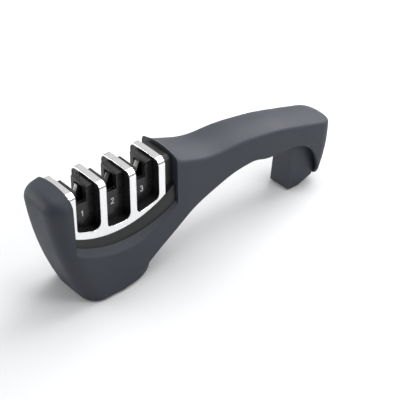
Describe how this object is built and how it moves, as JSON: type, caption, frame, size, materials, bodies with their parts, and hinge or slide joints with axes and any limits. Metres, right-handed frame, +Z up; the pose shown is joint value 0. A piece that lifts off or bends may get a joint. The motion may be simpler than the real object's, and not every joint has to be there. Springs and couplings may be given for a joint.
{
  "type": "knife sharpener",
  "caption": "Handheld pull-through knife sharpener: a boat-shaped tub with slots under bright arches and an arched handle that ends in a foot.",
  "frame": {"origin": "centre of the bounding box at its base, on the resting plane", "axes": "+X along the length from the bow over the slots to the handle's end, +Y across, +Z up"},
  "size_m": [0.1986, 0.0366, 0.0726],
  "materials": {
    "housing": "soft-touch matte dark slate grey",
    "inner_plastic": "plain moulded black",
    "pad_rubber": "non-slip rubber",
    "module_plastic": "satin black",
    "bright_trim": "bright plated plastic",
    "guide_plastic": "gloss black",
    "digit_print": "light grey print",
    "carbide": "ground hard metal",
    "diamond_coated_steel": "grit-coated steel",
    "ceramic": "fine white ceramic",
    "screw_steel": "plated steel"
  },
  "bodies": {
    "root": {"body_shell": "housing", "under_cover": "housing", "base_plate": "inner_plastic", "base_pad": "pad_rubber", "foot_pad": "pad_rubber", "module_frame": "module_plastic", "module_trim": "bright_trim", "guide_insert_1": "guide_plastic", "guide_insert_2": "guide_plastic", "guide_insert_3": "guide_plastic", "stage_digit_1": "digit_print", "stage_digit_2": "digit_print", "stage_digit_3": "digit_print", "carbide_plate_left": "carbide", "carbide_plate_right": "carbide", "carbide_holder": "inner_plastic", "diamond_rod_left": "diamond_coated_steel", "diamond_rod_right": "diamond_coated_steel", "diamond_holder": "inner_plastic", "ceramic_rod_left": "ceramic", "ceramic_rod_right": "ceramic", "ceramic_holder": "inner_plastic", "case_screws": "screw_steel", "cover_screws": "screw_steel"}
  },
  "joints": []
}
